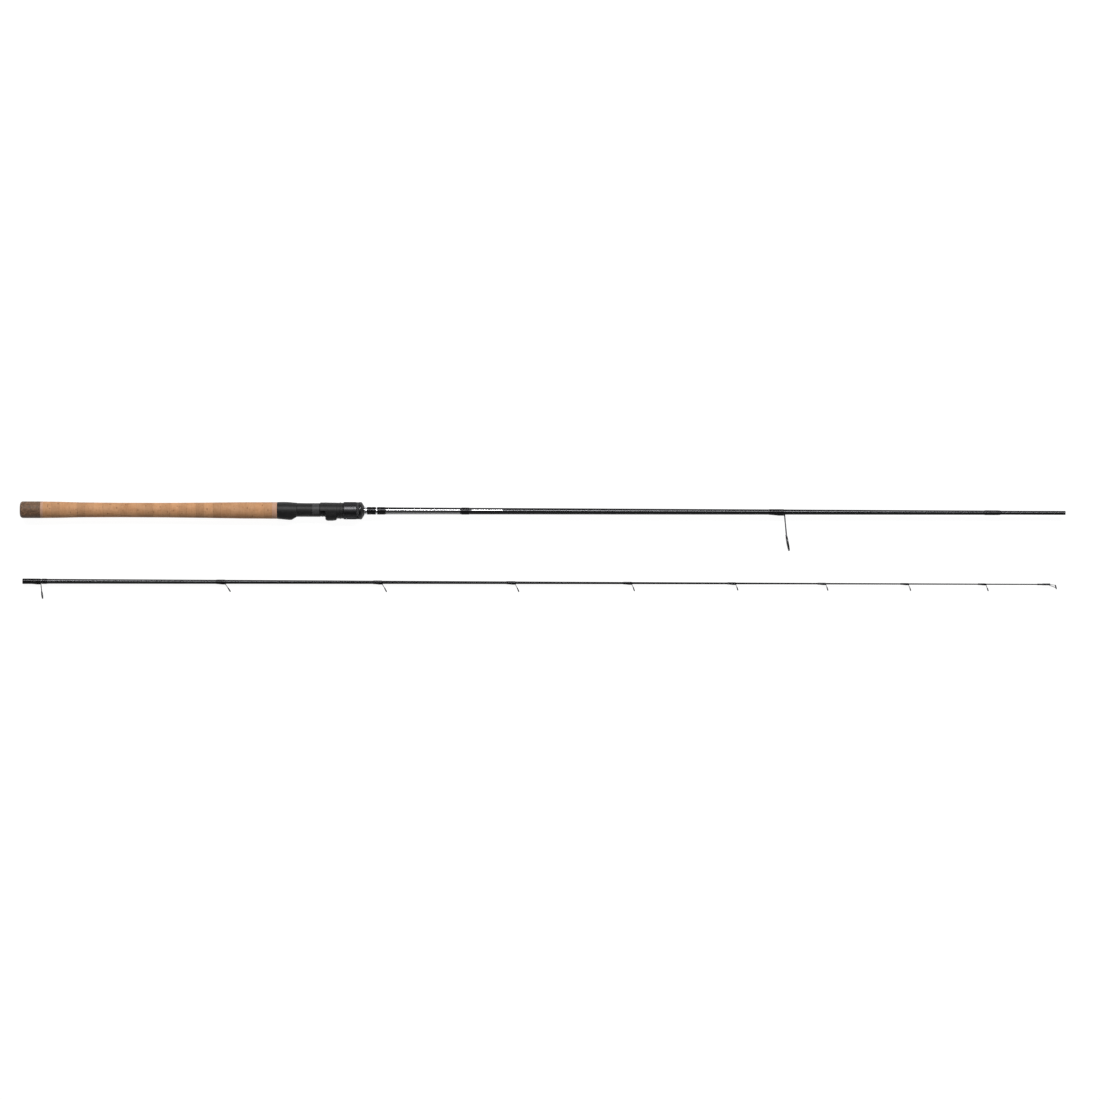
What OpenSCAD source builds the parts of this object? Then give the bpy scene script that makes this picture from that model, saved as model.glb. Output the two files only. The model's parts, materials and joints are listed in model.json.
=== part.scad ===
// A two-piece spinning rod, taken apart and lying with its sections side by side.
// X runs from the butt end to the tip, and Z is up from the surface it lies on.
// The guides and the openings of the reel seat's hoods point to -Y.
// All sizes are in millimetres. A station is a distance along a section from its rear end.

/* [Sections] */
// Length of the butt section, with the spigot at its front end
butt_len = 1578; // [1570:1:1620]
// Length of the tip section's blank
tip_len = 1552; // [1550:1:1600]
// Distance between the axes of the sections as they lie
lay_gap = 108; // [95:1:160]
// How far the tip section's rear end lies in front of the butt end
lay_shift = 3.3; // [0:0.1:10]

/* [Joint between the sections] */
// Radius of the spigot
spigot_r = 3; // [2.9:0.01:3.05]
// Clearance on the radius between spigot and ferrule
spigot_gap = 0.05; // [0.02:0.01:0.1]
// Length of the spigot
spigot_len = 98; // [90:1:100]
// Depth of the ferrule's bore
ferrule_depth = 102; // [101:1:110]

/* [Grip] */
// Length of the butt cap
cap_len = 31; // [26:1:33]
// Radius of the butt cap
cap_r = 12.6; // [12:0.1:13]
// Round edge of the butt cap
cap_edge = 4.5; // [2:0.1:5]
// Station where the accent ring ends and the grip begins
grip_start = 35; // [34:1:38]
// Number of cork rings in the grip
cork_count = 27; // [20:1:32]
// Station where the last cork ring ends
grip_end = 381; // [376:1:384]

/* [Reel seat] */
// Station of the reel seat's rear end
seat_start = 388; // [387:1:388]
// Station where the threaded barrel begins
thread_start = 453; // [452:1:454]
// Station of the barrel's front end
seat_end = 513; // [512.5:0.5:513]
// Radius of the thread's crests
thread_r = 9.5; // [9.4:0.1:9.5]
// Depth of the thread
thread_depth = 0.6; // [0.4:0.1:0.7]
// Pitch of the thread
thread_pitch = 2.2; // [1.8:0.1:2.6]
// Radius of the bore that the blank's arbors fill
seat_bore_r = 7.4; // [7:0.1:7.5]
// Radius of the bed that the reel's foot sits on
bed_r = 9.4; // [9.2:0.1:9.4]
// Running gap between the seat and the parts that move on it
run_gap = 0.3; // [0.25:0.05:0.35]
// Width of the reel foot's tunnels
tunnel_w = 16.4; // [15:0.1:17]

/* [Guides] */
// Radius of the stripper guide's frame
stripper_r = 12.4; // [11:0.1:13.2]
// Height of the stripper guide, from the blank's axis to the far edge of its frame
stripper_h = 58.7; // [50:0.1:64]
// Station where the stripper guide's legs leave the blank
stripper_at = 1154; // [1140:1:1170]
// Thickness of the thread and varnish over the blank
wrap_t = 0.38; // [0.3:0.01:0.5]

/* [Hidden] */
guide_count = 9;
full_turn = 96;
glue = 0.1;
ring_glue = 0.06;
eps = 0.02;

// The sections' axes, with the middle of the whole layout's footprint at the origin
butt_axis_z = 13.45;
tip_axis_z = 6;
first_guide_h = 26.6;
butt_axis_y = (lay_gap + first_guide_h - butt_axis_z) / 2;
tip_axis_y = butt_axis_y - lay_gap;
butt_end_x = -butt_len / 2;
tip_end_x = butt_end_x + lay_shift;

// Outlines are lists of [station, radius]
blank_start = 5;
spigot_start = butt_len - spigot_len;
butt_taper = [
    [blank_start, 6.2],
    [540, 5.35],
    [620, 5.1],
    [900, 4.5],
    [spigot_start - 4, 3.25],
    [spigot_start, spigot_r],
    [butt_len - 0.5, spigot_r],
    [butt_len, spigot_r - 0.3]
];
butt_bore = [[blank_start, 5], [spigot_start, 1.9], [butt_len, 1.85]];
tip_taper = [[0, 3.75], [240, 3.25], [600, 2.3], [873, 1.72], [1235, 1.15], [tip_len, 0.85]];
ferrule_r = spigot_r + spigot_gap;
tip_bore = [
    [0, ferrule_r],
    [ferrule_depth, ferrule_r],
    [ferrule_depth + 3, 2.65],
    [600, 1.1],
    [1000, 0.5]
];
grip_outline = [
    [cap_len, 12.55],
    [60, 12.2],
    [92, 11.35],
    [150, 11],
    [220, 11.1],
    [275, 11.6],
    [332, 12.3],
    [seat_start, 12.5]
];

// Reel seat
rear_outline = [[seat_start, 12.4], [389, 12.8], [397, 13], [405, 12.85], [411, 12.3], [418, 11.55]];
sleeve_shift = 0.95;
sleeve_r = 10.3;
band_start = 441;
band_end = 452;
band_t = 0.4;
band_low_y = -5.5;
hood_peak = 409;
hood_mouth = 417.5;
hood_bottom = 14.7;
hood_drop = 3.7;
tunnel_rear = 396;
liner_t = 0.5;
key_w = 4;
key_r = 8.3;

// Sliding hood, collar and nut
arch_start = 453;
arch_r = 12.3;
counterbore_r = 11.6;
slide_rear = 461;
ring_start = 472;
collar_start = 478.3;
slide_bottom = 15.6;
slide_drop = 4;
slide_tunnel_end = 474;
nut_start = 488;
nut_end = seat_end - run_gap;
nut_r = 13.1;
grip_band_start = 508;
grip_band_end = 511.6;
nut_bore_r = thread_r + run_gap;

// Front of the handle
flange_end = 519.5;
flange_r = 13.45;
trim_ring_end = seat_end + 1;
check_end = 523.6;
silver_ring = [537, 539];
front_wrap_end = 551;
label_wrap = [666, 678];

// Guides on the tip section: [station, height, frame radius, lean of the ring, lean of the legs]
tip_guides = [
    [28, first_guide_h, 6, 8, 5],
    [307, 15.1, 3.75, 33, 30],
    [544, 14.6, 3.75, 28, 26],
    [745, 14, 3.5, 24, 22],
    [921, 12.2, 3.25, 20, 18],
    [1078, 10.8, 3, 18, 16],
    [1214, 10.6, 3, 18, 16],
    [1339, 10.6, 2.75, 18, 16],
    [1456, 10.6, 2.75, 18, 16]
];
tip_ring_r = 3.5;
tip_ring_band = 0.45;
tip_ring_lean = 14;
tip_ring_drop = 3.9;
tip_tube_r = 1.5;
tip_tube_len = 12;
tip_tube_start = tip_len - tip_tube_len + 0.6;
tip_ring_at = tip_len + 9;
// Arms of the tip-top: [y and z where one leaves the tube, turn round the ring to where it ends]
tip_arms = [[-0.1, 1.3, 30], [-0.9, 1, 108]];

function butt_r(s) = lookup(s, butt_taper);
function tip_r(s) = lookup(s, tip_taper);
function grip_r(s) = lookup(s, grip_outline);

// Places a part of the butt section: X is the station, the axis is the X axis
module on_butt() {
    translate([butt_end_x, butt_axis_y, butt_axis_z])
        children();
}

// Places a part of the tip section in the same way
module on_tip() {
    translate([tip_end_x, tip_axis_y, tip_axis_z])
        children();
}

// Turns a flat shape, drawn as (radius, station), about the X axis
module turn() {
    rotate([0, 90, 0])
        rotate_extrude($fn = full_turn)
            children();
}

// A turned part between an outer outline and the outline of its bore
module lathe(outline, bore) {
    back = [for (i = [len(bore) - 1:-1:0]) bore[i]];
    turn()
        polygon([for (p = concat(outline, back)) [p[1], p[0]]]);
}

// A solid turned part that closes on the axis
module solid_lathe(outline) {
    lathe(outline, [[outline[0][0], 0], [outline[len(outline) - 1][0], 0]]);
}

// A tube with square ends
module tube(a, b, r, bore_r) {
    lathe([[a, r], [b, r]], [[a, bore_r], [b, bore_r]]);
}

// A round bar between two points
module bar(p, q, r) {
    d = q - p;
    flat = norm([d[0], d[1]]);
    translate(p)
        rotate([0, atan2(flat, d[2]), atan2(d[1], d[0])])
            cylinder(h = norm(d), r = r, $fn = 24);
}

// Thread and varnish around a blank from station a to b, low enough to cover a foot
module wrap_body(a, b, ra, rb, foot_t) {
    sink = foot_t / 2;
    translate([0, -sink, 0])
        solid_lathe([
            [a, ra + sink + 0.06],
            [a + 1.2, ra + sink + wrap_t],
            [b - 1.2, rb + sink + wrap_t],
            [b, rb + sink + 0.06]
        ]);
}

// ---- Guides ----

// Values of a guide g = [station, height, frame radius, lean of ring, lean of legs] on a blank of radius r
function ring_centre_y(g) = -(g[1] - g[2] * cos(g[3]));
function near_edge_y(g) = ring_centre_y(g) + g[2] * cos(g[3]);
function ring_centre(g, r) = [
    g[0] + (-near_edge_y(g) - r) * tan(g[4]) + g[2] * sin(g[3]),
    ring_centre_y(g),
    0
];
function band_thick(g) = 0.3 + g[2] * 0.055;
function band_width(g) = 0.9 + g[2] * 0.14;
function ceramic_thick(frame_r) = 0.35 + frame_r * 0.165;
function leg_r(g) = 0.28 + g[2] * 0.045;
function foot_thick(g) = 0.4 + g[2] * 0.06;
function foot_len(g) = 7 + g[2] * 1.1;
function wrap_len(g) = foot_len(g) + 3;

// Places a ring of guide g, whose own axis is X
module at_ring(g, r) {
    translate(ring_centre(g, r))
        rotate([0, 0, g[3]])
            children();
}

// The thin blade that the thread holds to the blank, with the blank's round cut out of it
module guide_foot(g, r) {
    t = foot_thick(g);
    w = 1.6 + g[2] * 0.12;
    translate([0, 0, -w / 2])
        linear_extrude(height = w)
            polygon([
                [g[0] - foot_len(g), 0],
                [g[0] - foot_len(g), -r - 0.15],
                [g[0] - foot_len(g) * 0.4, -r - t],
                [g[0] + leg_r(g), -r - t],
                [g[0] + leg_r(g), 0]
            ]);
}

// Two legs from the foot to the sides of the ring's frame
module guide_legs(g, r) {
    spread = 50;
    reach = g[2] - band_thick(g) / 2;
    c = ring_centre(g, r);
    foot_y = -r - foot_thick(g) / 2;
    for (side = [-1, 1]) {
        from = [g[0], foot_y, side * 0.55];
        to = [
            c[0] - reach * cos(spread) * sin(g[3]),
            c[1] + reach * cos(spread) * cos(g[3]),
            side * reach * sin(spread)
        ];
        bar(from, to, leg_r(g));
    }
}

module guide_frame(g, r) {
    half = band_width(g) / 2;
    hole_r = g[2] - band_thick(g);
    difference() {
        union() {
            guide_foot(g, r);
            guide_legs(g, r);
            at_ring(g, r)
                solid_lathe([[-half, g[2]], [half, g[2]]]);
        }
        at_ring(g, r)
            solid_lathe([[-3 * half, hole_r], [3 * half, hole_r]]);
    }
}

// Ceramic ring, round inside and flat where the frame holds it, with room for its glue
module guide_ceramic(hole_r, thick, width) {
    outer_r = hole_r - ring_glue;
    turn()
        intersection() {
            translate([outer_r - thick + width / 2, 0])
                circle(r = width / 2, $fn = 32);
            translate([outer_r - thick - 1, -width])
                square([thick + 1, 2 * width]);
        }
}

module ceramic_of(g, r) {
    at_ring(g, r)
        guide_ceramic(g[2] - band_thick(g), ceramic_thick(g[2]), band_width(g) + 0.4);
}

// ---- Butt section ----

module butt_solid() {
    solid_lathe(butt_taper);
}

module butt_blank() {
    color("dimgray")
        on_butt()
            lathe(butt_taper, butt_bore);
}

module blank_plug() {
    color("black")
        on_butt()
            solid_lathe([[blank_start, 4.9], [blank_start + 9, 4.85], [blank_start + 10, 4]]);
}

module butt_cap() {
    color("saddlebrown")
        on_butt()
            turn()
                difference() {
                    union() {
                        square([cap_r - cap_edge, cap_len]);
                        translate([0, cap_edge])
                            square([cap_r, cap_len - cap_edge]);
                        translate([cap_r - cap_edge, cap_edge])
                            circle(r = cap_edge, $fn = 48);
                    }
                    translate([-cap_r, -cap_len])
                        square([cap_r, 3 * cap_len]);
                    translate([0, blank_start])
                        square([butt_r(blank_start) + glue, cap_len]);
                }
}

module cap_accent_ring() {
    bore_r = butt_r(cap_len) + glue;
    color("burlywood")
        on_butt()
            lathe(
                [[cap_len, cap_r], [grip_start, grip_r(grip_start)]],
                [[cap_len, bore_r], [grip_start, bore_r]]
            );
}

module cork_rings() {
    step = (grip_end - grip_start) / cork_count;
    color("peru")
        on_butt()
            for (i = [0:cork_count - 1]) {
                a = grip_start + i * step;
                b = a + step - glue;
                mid = (a + b) / 2;
                bore_r = butt_r(a) + glue;
                lathe([[a, grip_r(a)], [mid, grip_r(mid)], [b, grip_r(b)]], [[a, bore_r], [b, bore_r]]);
            }
}

module grip_front_ring() {
    color("tan")
        on_butt()
            tube(grip_end, seat_start, grip_r(seat_start), butt_r(grip_end) + glue);
}

// ---- Reel seat ----

// Crescent-shaped tunnel for an end of the reel's foot, narrowing from the mouth to the deep end
module foot_tunnel(mouth, deep, drop, mouth_r, deep_r) {
    start = min(mouth, deep);
    length = abs(mouth - deep);
    first_r = mouth < deep ? mouth_r : deep_r;
    last_r = mouth < deep ? deep_r : mouth_r;
    difference() {
        intersection() {
            translate([start, -drop, 0])
                rotate([0, 90, 0])
                    cylinder(h = length, r1 = first_r, r2 = last_r, $fn = full_turn);
            translate([start, -20, -tunnel_w / 2])
                cube([length, 16, tunnel_w]);
        }
        translate([start - 1, 0, 0])
            rotate([0, 90, 0])
                cylinder(h = length + 2, r = bed_r, $fn = full_turn);
    }
}

// Outer form of a hood: a side outline in X and Y, cut by a round section below the axis
module hood_form(outline, drop, bottom) {
    first = min([for (p = outline) p[0]]);
    last = max([for (p = outline) p[0]]);
    intersection() {
        translate([0, 0, -13])
            linear_extrude(height = 26)
                polygon(outline);
        translate([first, -drop, 0])
            rotate([0, 90, 0])
                cylinder(h = last - first, r = bottom - drop, $fn = full_turn);
    }
}

module fixed_hood_form() {
    hood_form(
        [
            [tunnel_rear - 5, -5],
            [tunnel_rear - 5, -12.6],
            [hood_peak - 6, -hood_bottom + 0.5],
            [hood_peak - 3, -hood_bottom],
            [hood_peak, -hood_bottom],
            [hood_mouth, -bed_r],
            [hood_mouth, -5]
        ],
        hood_drop,
        hood_bottom
    );
}

module fixed_tunnel(shrink) {
    foot_tunnel(hood_mouth + 2, tunnel_rear, hood_drop, 9.9 - shrink, 7.4 - shrink);
}

// Crests and roots of the thread, from the sleeve to the barrel's front end
thread_root_r = thread_r - thread_depth;
thread_turns = floor((seat_end - thread_start - 2) / thread_pitch);
thread_outline = [
    for (i = [0:thread_turns - 1])
        for (p = [[0.1, thread_root_r], [0.4, thread_r], [0.6, thread_r], [0.9, thread_root_r]])
            [thread_start + 1 + (i + p[0]) * thread_pitch, p[1]]
];

module threaded_barrel() {
    difference() {
        lathe(
            concat(
                [[seat_start + 10, bed_r], [thread_start, bed_r]],
                thread_outline,
                [[seat_end, thread_root_r]]
            ),
            [[seat_start + 10, seat_bore_r], [seat_end, seat_bore_r]]
        );
        translate([thread_start, key_r, -key_w / 2])
            cube([seat_end - thread_start + 1, 4, key_w]);
    }
}

// The inlay band's form on the sleeve, out to radius r, open at the bed, with a gap all round
module band_ring(r, gap) {
    intersection() {
        translate([0, sleeve_shift, 0])
            tube(band_start + gap, band_end - gap, r, sleeve_r - band_t + gap);
        translate([band_start, band_low_y + gap, -r])
            cube([band_end - band_start, r + 20, 2 * r]);
    }
}

module seat_body() {
    color("#202123")
        on_butt()
            difference() {
                union() {
                    lathe(rear_outline, [[seat_start, seat_bore_r], [418, seat_bore_r]]);
                    fixed_hood_form();
                    difference() {
                        translate([0, sleeve_shift, 0])
                            solid_lathe([[410, 10.65], [430, sleeve_r], [thread_start, sleeve_r]]);
                        translate([400, 0, 0])
                            rotate([0, 90, 0])
                                cylinder(h = 60, r = bed_r - 0.5, $fn = full_turn);
                        band_ring(sleeve_r + 1, 0);
                    }
                    threaded_barrel();
                }
                fixed_tunnel(0);
                translate([seat_start - 1, 0, 0])
                    rotate([0, 90, 0])
                        cylinder(h = seat_end - seat_start + 2, r = seat_bore_r, $fn = full_turn);
            }
}

module seat_arbors() {
    color("darkkhaki")
        on_butt()
            for (a = [392, 440, 488]) {
                bore_r = butt_r(a) + eps;
                tube(a, a + 22, seat_bore_r - eps, bore_r);
            }
}

module seat_band() {
    color("#4a4c50")
        on_butt()
            band_ring(sleeve_r, glue);
}

module fixed_hood_liner() {
    color("silver")
        on_butt()
            intersection() {
                difference() {
                    fixed_tunnel(0);
                    fixed_tunnel(liner_t);
                }
                fixed_hood_form();
            }
}

module seat_trim_ring() {
    color("lightgray")
        on_butt()
            tube(seat_end, trim_ring_end, flange_r, thread_root_r);
}

module seat_front_flange() {
    bore_r = butt_r(trim_ring_end) + glue;
    color("black")
        on_butt()
            lathe(
                [[trim_ring_end, 13.3], [515.2, 13.1], [516.6, 11.6], [flange_end, 6.8]],
                [[trim_ring_end, bore_r], [flange_end, bore_r]]
            );
}

module sliding_hood_form() {
    union() {
        hood_form(
            [
                [slide_rear, -1],
                [slide_rear, -12.8],
                [slide_rear + 1.2, -14.6],
                [slide_rear + 3.5, -slide_bottom],
                [slide_rear + 10, -slide_bottom],
                [collar_start - 1, -14.4],
                [collar_start - 0.3, -12.5],
                [collar_start - 0.3, -1]
            ],
            slide_drop,
            slide_bottom
        );
        lathe(
            [[slide_rear, arch_r], [collar_start - 0.3, arch_r - 0.2]],
            [[slide_rear, 9], [collar_start - 0.3, 9]]
        );
        intersection() {
            tube(arch_start, slide_rear + 1, arch_r, 9);
            translate([arch_start, -0.8, -15])
                cube([slide_rear + 1 - arch_start, 20, 30]);
        }
    }
}

module slide_tunnel(shrink) {
    foot_tunnel(slide_rear - 1, slide_tunnel_end, slide_drop, 10.1 - shrink, 7.8 - shrink);
}

module sliding_hood() {
    key_gap = 0.3;
    color("#1c1d1f")
        on_butt()
            union() {
                difference() {
                    sliding_hood_form();
                    slide_tunnel(0);
                    translate([arch_start - 1, 0, 0])
                        rotate([0, 90, 0])
                            cylinder(h = ring_start - arch_start + 1, r = counterbore_r, $fn = full_turn);
                    translate([arch_start - 1, 0, 0])
                        rotate([0, 90, 0])
                            cylinder(h = 40, r = nut_bore_r, $fn = full_turn);
                }
                translate([ring_start, key_r + key_gap, -key_w / 2 + key_gap])
                    cube([collar_start - 0.3 - ring_start, 2, key_w - 2 * key_gap]);
            }
}

module sliding_hood_liner() {
    color("silver")
        on_butt()
            difference() {
                intersection() {
                    difference() {
                        slide_tunnel(0);
                        slide_tunnel(liner_t);
                    }
                    sliding_hood_form();
                }
                translate([arch_start - 1, 0, 0])
                    rotate([0, 90, 0])
                        cylinder(h = 40, r = counterbore_r, $fn = full_turn);
            }
}

module hood_collar() {
    color("#2a2b2e")
        on_butt()
            lathe(
                [
                    [collar_start - 0.3, 12],
                    [482.4, 12],
                    [482.7, 12.5],
                    [484, 12.5],
                    [484.3, 12],
                    [nut_start - run_gap, 12]
                ],
                [[collar_start - 0.3, nut_bore_r], [nut_start - run_gap, nut_bore_r]]
            );
}

module lock_nut() {
    color("black")
        on_butt()
            lathe(
                [
                    [nut_start, 12.4],
                    [nut_start + 0.8, nut_r],
                    [grip_band_start, nut_r],
                    [grip_band_start, nut_r - 0.9],
                    [grip_band_end, nut_r - 0.9],
                    [grip_band_end, nut_r],
                    [nut_end, nut_r]
                ],
                [[nut_start, nut_bore_r], [nut_end, nut_bore_r]]
            );
}

module nut_grip_band() {
    color("#303030")
        on_butt()
            tube(grip_band_start, grip_band_end, nut_r - 0.3, nut_r - 0.9);
}

// ---- Front of the handle and the butt section's wraps ----

module winding_check() {
    bore_r = butt_r(flange_end) + glue;
    color("silver")
        on_butt()
            lathe(
                [[flange_end, 6.6], [flange_end + 2.6, 6.5], [check_end, 5.8]],
                [[flange_end, bore_r], [check_end, bore_r]]
            );
}

module butt_wrap(a, b, foot_t) {
    difference() {
        wrap_body(a, b, butt_r(a), butt_r(b), foot_t);
        butt_solid();
        children();
    }
}

module handle_wraps() {
    color("black")
        on_butt() {
            butt_wrap(check_end, 530.2, 0);
            butt_wrap(530.3, silver_ring[0], 0);
            butt_wrap(silver_ring[1], front_wrap_end, 0);
        }
}

module silver_trim_ring() {
    bore_r = butt_r(silver_ring[0]) + eps;
    color("silver")
        on_butt()
            tube(silver_ring[0], silver_ring[1], bore_r + wrap_t, bore_r);
}

module label_end_wrap() {
    color("black")
        on_butt()
            butt_wrap(label_wrap[0], label_wrap[1], 0);
}

stripper = [stripper_at, stripper_h, stripper_r, 10.5, 4.4];

module stripper_frame() {
    r = butt_r(stripper_at);
    color("#2b2b2d")
        on_butt()
            difference() {
                guide_frame(stripper, r);
                butt_solid();
            }
}

module stripper_ring() {
    color("#111114")
        on_butt()
            ceramic_of(stripper, butt_r(stripper_at));
}

module stripper_wrap() {
    r = butt_r(stripper_at);
    color("black")
        on_butt()
            butt_wrap(stripper_at - wrap_len(stripper), stripper_at - 0.9, foot_thick(stripper))
                guide_foot(stripper, r);
}

module butt_ferrule_wrap() {
    color("black")
        on_butt()
            butt_wrap(1455.6, spigot_start - 0.2, 0);
}

// ---- Tip section ----

module tip_solid() {
    solid_lathe(tip_taper);
}

module tip_wrap(a, b, foot_t) {
    difference() {
        wrap_body(a, b, tip_r(a), tip_r(b), foot_t);
        tip_solid();
        children();
    }
}

module tip_blank() {
    color("dimgray")
        on_tip()
            lathe(tip_taper, tip_bore);
}

module tip_ferrule_wrap() {
    g = tip_guides[0];
    color("black")
        on_tip()
            tip_wrap(0.2, g[0] - 0.9, foot_thick(g))
                guide_foot(g, tip_r(g[0]));
}

module tip_guide_frame(i) {
    g = tip_guides[i - 1];
    color("#2b2b2d")
        on_tip()
            difference() {
                guide_frame(g, tip_r(g[0]));
                tip_solid();
            }
}

module tip_guide_ring(i) {
    g = tip_guides[i - 1];
    color("#111114")
        on_tip()
            ceramic_of(g, tip_r(g[0]));
}

module tip_guide_wrap(i) {
    g = tip_guides[i - 1];
    front = g[0] - leg_r(g) - 0.2;
    back = i == 1 ? g[0] + 1.4 : g[0] - wrap_len(g);
    color("black")
        on_tip()
            tip_wrap(back, i == 1 ? g[0] + 9 : front, i == 1 ? 0 : foot_thick(g))
                guide_foot(g, tip_r(g[0]));
}

module at_tip_ring() {
    translate([tip_ring_at, -tip_ring_drop, 0])
        rotate([0, 0, tip_ring_lean])
            children();
}

module tip_top_frame() {
    wire_r = 0.38;
    half_w = 0.7;
    hole_r = tip_ring_r - tip_ring_band;
    side = tip_ring_r - tip_ring_band / 2;
    cut_half = half_w + 0.2;
    front = tip_tube_start + tip_tube_len;
    arm_root = front - 2.5;
    color("#2b2b2d")
        on_tip()
            difference() {
                union() {
                    tube(tip_tube_start, front, tip_tube_r, tip_r(tip_tube_start) + eps);
                    for (z = [-1, 1], arm = tip_arms)
                        bar(
                            [arm_root, arm[0], z * arm[1]],
                            [
                                tip_ring_at - side * cos(arm[2]) * sin(tip_ring_lean),
                                -tip_ring_drop + side * cos(arm[2]) * cos(tip_ring_lean),
                                z * side * sin(arm[2])
                            ],
                            wire_r
                        );
                    at_tip_ring()
                        solid_lathe([[-half_w, tip_ring_r], [half_w, tip_ring_r]]);
                }
                at_tip_ring()
                    solid_lathe([[-cut_half, hole_r], [cut_half, hole_r]]);
                tip_solid();
            }
}

module tip_top_ring() {
    color("#111114")
        on_tip()
            at_tip_ring()
                guide_ceramic(tip_ring_r - tip_ring_band, ceramic_thick(tip_ring_r), 1.7);
}

module tip_top_wrap() {
    color("black")
        on_tip()
            tip_wrap(tip_tube_start - 8, tip_tube_start - 0.1, 0);
}

butt_blank();
blank_plug();
butt_cap();
cap_accent_ring();
cork_rings();
grip_front_ring();
seat_body();
seat_arbors();
seat_band();
fixed_hood_liner();
seat_trim_ring();
seat_front_flange();
winding_check();
handle_wraps();
silver_trim_ring();
label_end_wrap();
stripper_frame();
stripper_ring();
stripper_wrap();
butt_ferrule_wrap();
sliding_hood();
sliding_hood_liner();
hood_collar();
lock_nut();
nut_grip_band();
tip_blank();
tip_ferrule_wrap();
tip_top_frame();
tip_top_ring();
tip_top_wrap();
for (i = [1:guide_count]) {
    tip_guide_frame(i);
    tip_guide_ring(i);
    tip_guide_wrap(i);
}
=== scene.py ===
"""Looks of a two-piece spinning rod lying apart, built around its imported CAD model.

Shapes are worked out in millimetres in the frame of one section: the station along the section's
axis, then y and z from that axis. The guides and the reel foot's bed face -y, and z is up.
"""

import itertools
import json
import math

import bpy
import numpy as np
from mathutils import Matrix, Vector


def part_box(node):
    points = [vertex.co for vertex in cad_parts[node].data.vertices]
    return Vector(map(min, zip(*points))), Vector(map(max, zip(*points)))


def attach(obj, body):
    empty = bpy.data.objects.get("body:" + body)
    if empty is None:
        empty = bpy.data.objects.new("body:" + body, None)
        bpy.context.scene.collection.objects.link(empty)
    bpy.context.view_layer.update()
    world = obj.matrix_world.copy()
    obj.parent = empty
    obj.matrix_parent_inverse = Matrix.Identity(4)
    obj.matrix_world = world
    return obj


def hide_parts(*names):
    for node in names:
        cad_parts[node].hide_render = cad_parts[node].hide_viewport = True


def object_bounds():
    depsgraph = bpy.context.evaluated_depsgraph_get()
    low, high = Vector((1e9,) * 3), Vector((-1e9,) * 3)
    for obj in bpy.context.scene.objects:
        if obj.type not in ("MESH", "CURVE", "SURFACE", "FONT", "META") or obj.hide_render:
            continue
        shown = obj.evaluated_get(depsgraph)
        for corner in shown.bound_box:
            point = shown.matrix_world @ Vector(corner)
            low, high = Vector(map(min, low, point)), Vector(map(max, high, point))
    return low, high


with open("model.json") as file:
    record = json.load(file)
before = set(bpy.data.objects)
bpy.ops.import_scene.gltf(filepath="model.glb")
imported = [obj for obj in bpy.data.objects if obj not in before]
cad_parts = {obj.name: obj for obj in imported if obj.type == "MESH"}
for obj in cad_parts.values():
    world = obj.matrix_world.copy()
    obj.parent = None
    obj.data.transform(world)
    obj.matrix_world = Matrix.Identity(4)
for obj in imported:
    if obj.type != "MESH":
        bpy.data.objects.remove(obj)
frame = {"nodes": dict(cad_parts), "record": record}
cad_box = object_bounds()

MM = 0.001
TAU = 2 * math.pi
FAR = 9.0
RANDOM = np.random.default_rng(7)


def section_origin(node, station):
    """Where station 0 of a section's axis is, from a turned CAD node that begins at that station."""
    low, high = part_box(node)
    return np.array([low.x - station * MM, (low.y + high.y) / 2, (low.z + high.z) / 2])


BUTT = section_origin("butt_cap", 0)
TIP = section_origin("tip_blank", 0)

# ---------------------------------------------------------------- outlines, in millimetres

BUTT_TAPER = [(5, 6.2), (540, 5.35), (620, 5.1), (900, 4.5), (1476, 3.25), (1480, 3), (1577.5, 3)]
TIP_TAPER = [(0, 3.75), (240, 3.25), (600, 2.3), (873, 1.72), (1235, 1.15), (1552, 0.85)]
GRIP = [(31, 12.55), (60, 12.2), (92, 11.35), (150, 11), (220, 11.1), (275, 11.6), (332, 12.3), (388, 12.5)]
SLEEVE_LIFT = 0.95  # the bed's axis lies this far above the seat's
THREAD_PITCH = 2.2
WRAP = 0.38  # thickness of thread and varnish


def butt_r(s):
    return float(np.interp(s, *zip(*BUTT_TAPER)))


def tip_r(s):
    return float(np.interp(s, *zip(*TIP_TAPER)))


def soften(points, radius, steps=4):
    """The closed outline with each of its corners rounded to about that radius."""
    pts = np.array(points, float)
    out = []
    for i, p in enumerate(pts):
        a, b = pts[i - 1], pts[(i + 1) % len(pts)]
        u, v = a - p, b - p
        lu, lv = np.linalg.norm(u), np.linalg.norm(v)
        turn = math.pi - math.acos(np.clip(u @ v / (lu * lv), -1, 1))
        cut = min(radius * math.tan(min(turn, 2.8) / 2), 0.45 * lu, 0.45 * lv)
        if turn < 0.12 or cut < 1e-3:
            out.append(p)
            continue
        first, last = p + u / lu * cut, p + v / lv * cut
        for t in np.linspace(0, 1, steps + 1):
            out.append((1 - t) ** 2 * first + 2 * t * (1 - t) * p + t * t * last)
    return np.array(out)


# ---------------------------------------------------------------- meshes


def join_parts(parts):
    """One (vertices, quads) from several."""
    verts, quads, count = [], [], 0
    for v, q in parts:
        verts.append(v)
        quads.append(q + count)
        count += len(v)
    return np.concatenate(verts), np.concatenate(quads)


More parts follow.
